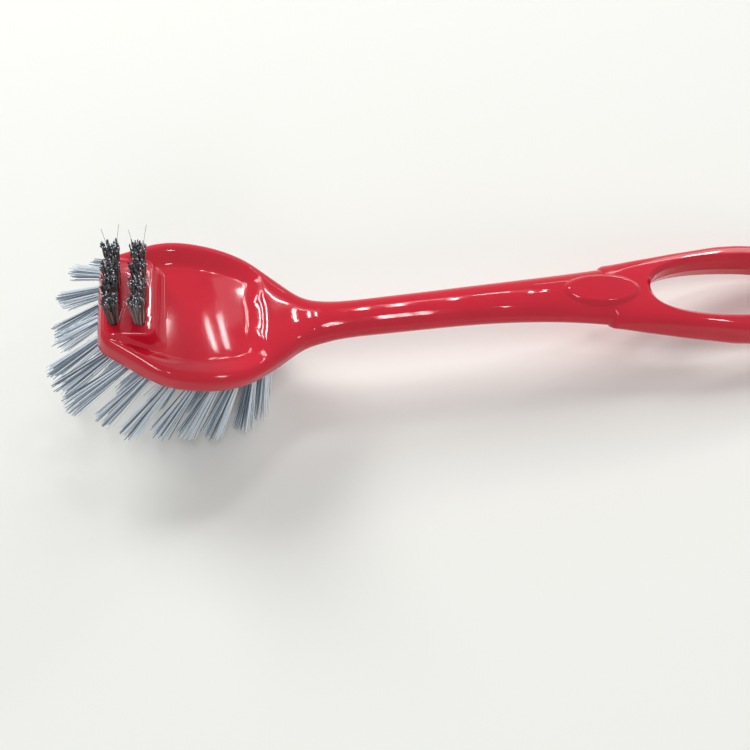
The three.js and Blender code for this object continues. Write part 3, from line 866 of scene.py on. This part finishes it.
# angles in degrees, place in millimetres, focal length and frame in pixels, sensor in millimetres and the
# nearest thing seen in metres
view = {"tilt": 61.907, "turn": -7.76, "roll": -0.063, "place": (-57.057, -147.532, 263.123),
        "focal": 804.0, "frame": 750, "sensor": 36, "nearest": 0.01}


def makeCamera():
    tilt, turn, roll = (math.radians(view[key]) for key in ("tilt", "turn", "roll"))
    ahead = Vector((-math.sin(turn) * math.cos(tilt), math.cos(turn) * math.cos(tilt), -math.sin(tilt)))
    right = Vector((math.cos(turn), math.sin(turn), 0))
    down = ahead.cross(right)
    right, down = (math.cos(roll) * right + math.sin(roll) * down,
                   math.cos(roll) * down - math.sin(roll) * right)
    camera = bpy.data.objects.new("camera", bpy.data.cameras.new("camera"))
    camera.data.sensor_width = view["sensor"]
    camera.data.lens = view["focal"] / view["frame"] * view["sensor"]
    camera.data.clip_start = view["nearest"]
    camera.matrix_world = Matrix.Translation(Vector(view["place"]) * mm) @ Matrix(
        (right, -down, -ahead)).transposed().to_4x4()
    bpy.context.scene.collection.objects.link(camera)
    bpy.context.scene.camera = camera


# Direction to each lamp from the origin, its width and length in metres, how bright it is, and whether
# gloss shows it. Width runs along the brush and length across it.
lampDistance = 1.5
lamps = {
    "window": ((-0.46, 0.66, 0.60), (0.55, 0.55), 12.7, False),
    "farStrip": ((0.48, 0.74, 0.42), (0.40, 0.04), 7, True),
    "farCard": ((0.61, 0.68, 0.39), (0.14, 0.12), 24, True),
    "sideCard": ((0.63, -0.08, 0.77), (0.07, 0.09), 40, True),
    "nearFill": ((-0.10, -0.85, 0.50), (0.80, 0.50), 2.4, False),
    "longTube0": ((0.122, 0.585, 0.79), (0.15, 0.018), 26, True),
    "longTube1": ((0.285, 0.585, 0.75), (0.15, 0.024), 50, True),
    "shortTube0": ((0.04, 0.53, 0.84), (0.024, 0.16), 45, True),
    "shortTube1": ((0.095, 0.53, 0.83), (0.024, 0.16), 45, True),
    "shortTube2": ((0.185, 0.53, 0.82), (0.034, 0.13), 45, True),
    "dishTube0": ((0.390, 0.52, 0.75), (0.010, 0.10), 55, True),
    "dishTube1": ((0.425, 0.52, 0.74), (0.010, 0.10), 55, True),
    "lowCard": ((0.70, 0.66, 0.28), (0.80, 0.45), 2.6, True),
    "ceiling": ((0.20, 0.60, 0.76), (0.60, 0.16), 1.3, True),
    "overTube0": ((0.074, -0.31, 0.95), (0.040, 0.55), 30, True),
    "overTube1": ((0.102, -0.31, 0.95), (0.020, 0.55), 30, True),
    "overTube2": ((0.128, -0.31, 0.94), (0.022, 0.55), 30, True),
    "overTube3": ((0.300, -0.28, 0.91), (0.022, 0.12), 40, True),
}


def makeLamp(name, way, size, bright, glossy):
    lamp = bpy.data.lights.new(name, "AREA")
    lamp.shape = "RECTANGLE"
    lamp.size, lamp.size_y = size
    lamp.energy = bright * math.pi * size[0] * size[1]
    made = bpy.data.objects.new(name, lamp)
    away = Vector(way).normalized()
    across = away.cross(Vector((1, 0, 0))).normalized()
    turn = Matrix((across.cross(away), across, away)).transposed().to_4x4()
    made.matrix_world = Matrix.Translation(away * lampDistance) @ turn
    made.visible_glossy = glossy
    bpy.context.scene.collection.objects.link(made)


makeCamera()
for name, lamp in lamps.items():
    makeLamp(name, *lamp)
room = {"light": (0.95, 0.96, 1.0), "strength": 0.30, "seen": (0.97, 0.97, 0.96), "seenStrength": 0.72}


# lights the brush softly, and is pale where the camera or a reflection sees it
def makeRoom():
    sky = Finish(bpy.data.worlds.new("room"), "Background",
                 Color=(*room["light"], 1), Strength=room["strength"])
    camera, glossy, through = (sky.node("ShaderNodeLightPath", out=f"Is {ray} Ray")
                               for ray in ("Camera", "Glossy", "Transmission"))
    seen = sky.node("ShaderNodeBackground", {}, {
        "Color": (*room["seen"], 1), "Strength": room["seenStrength"]})
    both = sky.node("ShaderNodeMixShader", {}, {
        0: camera + glossy + through, 1: Wire(sky, sky.shader.outputs[0]), 2: seen})
    sky.plug(sky.tree.nodes["World Output"].inputs["Surface"], both)
    bpy.context.scene.world = sky.owner


makeRoom()
bpy.context.scene.view_settings.view_transform = "Standard"
print("stage, lamps and camera set")
